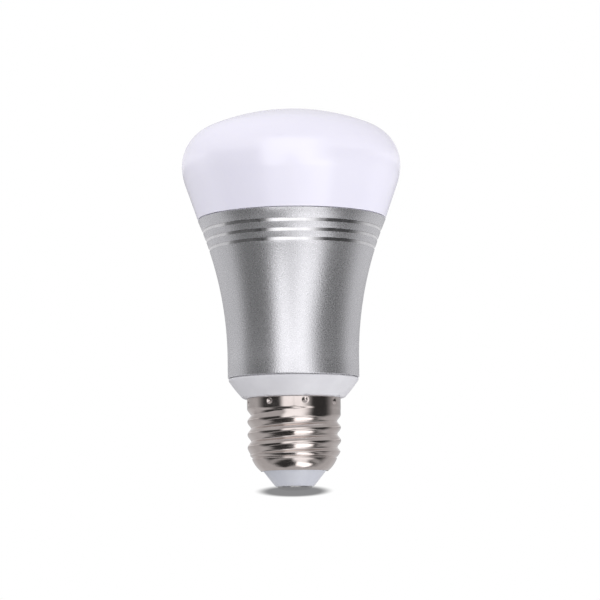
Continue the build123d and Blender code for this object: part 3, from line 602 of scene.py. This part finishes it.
def lower_end_radius(z):
    """Radius on a smooth curve through the points of LOWER_END."""
    ends = LOWER_END
    i = max(1, min(len(ends) - 1, sum(point[1] <= z for point in ends)))
    (r0, z0), (r1, z1) = ends[i - 1], ends[i]
    before, after = ends[max(0, i - 2)], ends[min(len(ends) - 1, i + 1)]
    slope0 = (r1 - before[0]) / (z1 - before[1])
    slope1 = (after[0] - r0) / (after[1] - z0)
    step = z1 - z0
    t = (z - z0) / step
    rise = (r1 - r0) * t * t * (3 - 2 * t)
    return r0 + rise + step * t * (1 - t) * (slope0 * (1 - t) - slope1 * t)


def soft_min(a, b, width):
    """The smaller of two numbers, with a rounded change from one to the other."""
    share = max(0.0, width - abs(a - b)) / width
    return min(a, b) - share * share * width / 4


def ridge_radius(off):
    """Radius at a distance from a crest along the axis, on a wave."""
    wave = 0.5 + 0.5 * cos(2 * pi * off / THREAD_PITCH)
    return ROOT_R + (CREST_R - ROOT_R) * wave ** CREST_FULLNESS


def smooth_step(value, low, high):
    share = min(1.0, max(0.0, (value - low) / (high - low)))
    return share * share * (3 - 2 * share)


def thread_radius(angle, z):
    """Radius of the rolled thread. Its root fades in at the lower start and out at the upper end."""
    turns = (z - CREST_START_Z) / THREAD_PITCH - angle / (2 * pi)
    radius = ridge_radius(THREAD_PITCH * (turns - round(turns)))
    along = floor(turns) + angle / (2 * pi)
    cut = smooth_step(along, *THREAD_START) * (1 - smooth_step(along, *THREAD_END))
    return CREST_R + (radius - CREST_R) * cut


def shell_radius(angle, z):
    """Outside radius of the shell: lower cone, thread, and plain band."""
    threaded = thread_radius(angle, z)
    if z < LOWER_END[-1][1]:
        threaded = soft_min(threaded, lower_end_radius(z), LOWER_BLEND)
    band = smooth_step(z, *BAND_START)
    return threaded + (BAND_R - threaded) * band


def stake_dent(angle, z):
    """How far the staking punches push the band in near an angle and height, with the rim they raise."""
    step = 2 * pi / STAKE_COUNT
    off = (angle - STAKE_ANGLE + step / 2) % step - step / 2
    away = hypot(off * BAND_R, z - STAKE_Z) / STAKE_R
    bowl = max(0.0, 1 - STAKE_BOWL * away ** 2) ** 2
    rim = max(0.0, 1 - STAKE_RIM_SHARPNESS * (away - STAKE_RIM_AT) ** 2)
    return STAKE_DEPTH * bowl - STAKE_RIM * rim


def dented_radius(angle, z):
    """Outside radius of the shell with its staking dents."""
    return min(BAND_R, shell_radius(angle, z) - stake_dent(angle, z))


def make_shell():
    low, high = box_mm("screw_shell")
    thread_low, thread_high = THREAD_ROWS_Z
    band_top = high.z - BAND_CHAMFER
    stops = (low.z, thread_low, thread_high, band_top)
    outside = [z for span in zip(stops, stops[1:], OUTER_ROWS) for z in spaced(*span)] + [band_top]
    tops = (high.z - INNER_BAND_DEPTH, thread_high, thread_low - INNER_CONE_DEPTH)
    band_inside, thread_inside, cone_inside = [
        [top - step * i for i in range(count)] for top, (step, count) in zip(tops, INNER_ROWS)
    ]
    angles = spaced(0.0, 2 * pi, SHELL_SEGMENTS)
    vertices = []

    def ring(radius_at, z):
        for a in angles:
            r = radius_at(a, z)
            vertices.append((r * cos(a), r * sin(a), z))

    for z in outside:
        ring(dented_radius, z)
    ring(lambda a, z: BAND_R - BAND_CHAMFER, high.z)
    ring(lambda a, z: BAND_R - SHELL_WALL, high.z)
    for z in band_inside:
        ring(lambda a, z: dented_radius(a, z) - SHELL_WALL, z)
    for z in thread_inside + cone_inside:
        ring(lambda a, z: shell_radius(a, z) - SHELL_WALL, z)
    count = len(vertices) // SHELL_SEGMENTS
    faces = []
    for row in range(count):
        here = row * SHELL_SEGMENTS
        there = (row + 1) % count * SHELL_SEGMENTS
        for i in range(SHELL_SEGMENTS):
            j = (i + 1) % SHELL_SEGMENTS
            faces.append((here + i, here + j, there + j, there + i))
    new_piece("nickel_screw_shell", vertices, faces, [nickel_plate()], "screw_shell",
              sharp_above=radians(50))


# ---------------------------------------------------------------- pieces kept from the CAD
def dress_cad_nodes():
    """Gives every CAD node that is shown as it is a procedural material."""
    slot_of = {row["node"]: row["material_slot"] for row in frame["record"]["subparts"]}
    slots = {slot["slot"]: slot for slot in frame["record"]["materials"]}
    housing = white_moulding("white_pbt", rgb(0.615, 0.61, 0.645), rgb(0.585, 0.58, 0.615), 0.34, 0.44)
    insulator = white_moulding("insulator_white", rgb(0.51, 0.52, 0.57), rgb(0.48, 0.49, 0.545), 0.28, 0.38)
    own = {"driver_housing": housing, "insulator": insulator}
    made = {}
    for name, node in frame["nodes"].items():
        slot = slot_of[name]
        if name not in own and slot not in made:
            made[slot] = inner_material(slots[slot])
        node.data.materials.clear()
        node.data.materials.append(own.get(name) or made[slot])


# ---------------------------------------------------------------- studio
# The studio as glossy surfaces see it. Directions are in degrees: sides from the front (0) round to the
# back (180), positive to the right; heights from straight down (-90) to straight up (90).
WALLS = 0.5
BACK_WALL = 0.62
BACK_WALL_START = 0.45  # as a share of the way from the middle to the back
DARK_PANEL = 0.04
SOFTBOX = 1.26
ALL_ROUND = (-181, 181)  # past half a turn each way, so that no edge shows
GLOSSY_WINDOWS = (  # brightness, sides and their soft edges, heights and theirs; later ones lie on top
    (0.42, ALL_ROUND, (1, 1), (1, 7), (5, 1)),
    (0.8, ALL_ROUND, (1, 1), (7, 15), (1, 4)),
    (DARK_PANEL, (-91, 100), (15, 19), (-76, 15), (3, 4)),
    (0.15, (-97, -50), (3, 12), (7, 16), (1, 2)),
    (0.22, (-28, 44), (8, 10), (-35, -27), (3, 3)),
    (0.4, (-95, 100), (8, 8), (-49, -40), (3, 3)),
    (0.9, (30, 62), (8, 8), (-46, -31), (4, 3)),
    (SOFTBOX, (-4, 50), (8, 12), (-56, -34), (5, 3)),
    (SOFTBOX, (10, 46), (8, 8), (-27, -12), (3, 6)),
    (SOFTBOX, (-30, 33), (8, 17), (-27, 40), (3, 5)),
    (1.9, (9, 86), (5, 6), (-76, -57), (4, 4)),
)
NOTCH_TOP = 5  # the softbox has a notch that widens downwards from this height
NOTCH_FOOT = -26
NOTCH_SLOPE = 0.42
NOTCH_EDGE = (-2, 3)
NOTCH_SHARE = 0.55
GLOSSY_COLOUR = rgb(1.0, 0.99, 1.01)
WHITE = rgb(1.0, 1.0, 1.0)
# The light on matt surfaces: even from above, and two broad lamps, each a direction and a strength.
AMBIENT_BELOW = 0.0
AMBIENT_ABOVE = 1.02
LOBE_EDGE = 0.1
LOBES = (((0.5, -0.44, -0.75), 1.44), ((-0.8, 0.0, 0.5), 0.76))


def make_world():
    """The studio. Matt surfaces get soft light from above, the lower right and the left. Glossy ones see
    pale walls with a bright strip round them, and in front a dark panel with a notched softbox."""
    world = bpy.data.worlds.new("studio")
    world.use_nodes = True
    world.cycles.sampling_method = "NONE"
    bpy.context.scene.world = world
    nodes = Nodes(world.node_tree)
    split = nodes.add("ShaderNodeSeparateXYZ")
    nodes.feed(split, 0, nodes.add("ShaderNodeTexCoord").outputs["Generated"])
    x, y, z = split.outputs
    side = nodes.math("ARCTAN2", x, nodes.math("MULTIPLY", y, -1.0))
    height = nodes.math("ARCSINE", z)

    def window(value, low, high, low_soft, high_soft):
        """1 between low and high, with an edge as wide as its softness on each side. All in degrees."""
        rise = nodes.ramp(value, radians(low - low_soft), radians(low + low_soft))
        fall = nodes.ramp(value, radians(high - high_soft), radians(high + high_soft), 1.0, 0.0)
        return nodes.math("MULTIPLY", rise, fall)

    def patch(sides, side_softs, heights, height_softs):
        """A window in both directions."""
        across = window(side, *sides, *side_softs)
        return nodes.math("MULTIPLY", across, window(height, *heights, *height_softs))

    def lay(strength, mask, level):
        """Strength, changed to level where the mask is 1."""
        node = nodes.add("ShaderNodeMix", data_type="FLOAT")
        nodes.feed(node, 0, mask)
        nodes.feed(node, 2, strength)
        nodes.feed(node, 3, level)
        return node.outputs[0]

    glossy_strength = nodes.ramp(y, BACK_WALL_START, 1.0, WALLS, BACK_WALL)
    for level, *window_of in GLOSSY_WINDOWS:
        glossy_strength = lay(glossy_strength, patch(*window_of), level)
    below_top = nodes.math("MULTIPLY", nodes.math("SUBTRACT", radians(NOTCH_TOP), height), NOTCH_SLOPE)
    wedge = nodes.math("SUBTRACT", below_top, nodes.math("ABSOLUTE", side))
    notch = nodes.ramp(wedge, *[radians(edge) for edge in NOTCH_EDGE])
    notch = nodes.math("MULTIPLY", notch, window(height, NOTCH_FOOT, 90, 3, 1))
    glossy_strength = lay(glossy_strength, notch, SOFTBOX * NOTCH_SHARE)

    diffuse_strength = nodes.ramp(z, -1.0, 1.0, AMBIENT_BELOW, AMBIENT_ABOVE, smooth=False)
    for direction, strength in LOBES:
        toward = nodes.add("ShaderNodeVectorMath", operation="DOT_PRODUCT")
        nodes.feed(toward, 0, nodes.add("ShaderNodeTexCoord").outputs["Generated"])
        nodes.feed(toward, 1, Vector(direction).normalized())
        lobe = nodes.ramp(toward.outputs["Value"], LOBE_EDGE, 1.0, 0.0, strength)
        diffuse_strength = nodes.math("ADD", diffuse_strength, lobe)

    path = nodes.add("ShaderNodeLightPath")
    backgrounds = []
    for colour, strength in ((WHITE, diffuse_strength), (GLOSSY_COLOUR, glossy_strength), (WHITE, 1.0)):
        background = nodes.add("ShaderNodeBackground")
        nodes.feed(background, "Color", colour)
        nodes.feed(background, "Strength", strength)
        backgrounds.append(background.outputs[0])
    shown = backgrounds[0]
    for ray, background in (("Is Glossy Ray", backgrounds[1]), ("Is Camera Ray", backgrounds[2])):
        choose = nodes.add("ShaderNodeMixShader")
        nodes.feed(choose, 0, path.outputs[ray])
        nodes.feed(choose, 1, shown)
        nodes.feed(choose, 2, background)
        shown = choose.outputs[0]
    output = nodes.add("ShaderNodeOutputWorld")
    nodes.feed(output, "Surface", shown)


DISC_SEGMENTS = 96


def stage_output(nodes, shader, share):
    """Shows shader by share, and nothing where share is 0."""
    clear = nodes.add("ShaderNodeBsdfTransparent")
    choose = nodes.add("ShaderNodeMixShader")
    nodes.feed(choose, 0, share)
    nodes.feed(choose, 1, clear.outputs[0])
    nodes.feed(choose, 2, shader)
    output = next(n for n in nodes.tree.nodes if n.type == "OUTPUT_MATERIAL")
    nodes.feed(output, "Surface", choose.outputs[0])


def stage_disc(name, radius, material, height=0.0):
    """A flat disc centred under the lamp."""
    data = bpy.data.meshes.new(name)
    rim = [(radius * cos(a), radius * sin(a), 0.0) for a in spaced(0.0, 2 * pi, DISC_SEGMENTS)]
    data.from_pydata(rim, [], [range(DISC_SEGMENTS)])
    data.materials.append(material)
    disc = bpy.data.objects.new(name, data)
    disc.location.z = height
    disc.visible_glossy = False
    disc.visible_diffuse = False
    bpy.context.scene.collection.objects.link(disc)
    return disc


FLOOR_R = 1.2
FLOOR_FADE = (0.25, 1.176)  # between these radii the floor melts into the backdrop


def make_floor():
    """A pale floor under the end contact. It shows from above only, as the main view is from below it."""
    material, nodes, shader = new_material("pale_floor")
    tone = nodes.ramp(nodes.noise(40.0, 3.0), 0.3, 0.7)
    nodes.feed(shader, "Base Color", nodes.mix(tone, rgb(0.79, 0.79, 0.80), rgb(0.81, 0.81, 0.82)))
    nodes.feed(shader, "Roughness", 0.7)
    nodes.feed(shader, "Specular IOR Level", 0.2)
    away = nodes.add("ShaderNodeVectorMath", operation="LENGTH")
    nodes.feed(away, 0, nodes.place())
    near = nodes.ramp(away.outputs["Value"], *FLOOR_FADE, 1.0, 0.0)
    front = nodes.math("SUBTRACT", 1.0, nodes.add("ShaderNodeNewGeometry").outputs["Backfacing"])
    stage_output(nodes, shader.outputs[0], nodes.math("MULTIPLY", near, front))
    stage_disc("floor", FLOOR_R, material)


SHADOW_PLACE = (-0.2, 5.0)  # mm, as are the two below
SHADOW_R = (10.7, 63.0)
SHADOW_LEVEL = -0.3
SHADOW_FADE = (0.66, 1.08)  # shares of its radius between which it fades out
SHADOW_DENSITY = 0.94
SHADOW_GREY = rgb(0.205, 0.205, 0.21)
SHADOW_DISC_R = 0.09


def make_contact_shadow():
    """The soft grey shadow under the cap, which the main view sees from below the floor's level."""
    material, nodes, shader = new_material("contact_shadow")
    place = nodes.add("ShaderNodeMapping")
    nodes.feed(place, "Vector", nodes.place())
    nodes.feed(place, "Location", [-c / r for c, r in zip(SHADOW_PLACE, SHADOW_R)] + [0.0])
    nodes.feed(place, "Scale", [1 / (r * MM) for r in SHADOW_R] + [0.0])
    away = nodes.add("ShaderNodeVectorMath", operation="LENGTH")
    nodes.feed(away, 0, place.outputs[0])
    fade = nodes.ramp(away.outputs["Value"], *SHADOW_FADE, SHADOW_DENSITY, 0.0)
    grey = nodes.add("ShaderNodeEmission")
    nodes.feed(grey, "Color", SHADOW_GREY)
    stage_output(nodes, grey.outputs[0], fade)
    disc = stage_disc("contact_shadow", SHADOW_DISC_R, material, SHADOW_LEVEL * MM)
    disc.visible_shadow = False


def main():
    bpy.context.scene.view_settings.view_transform = "Standard"
    make_camera()
    make_world()
    make_floor()
    make_contact_shadow()
    make_diffuser()
    make_sleeve()
    make_shell()
    dress_cad_nodes()


main()
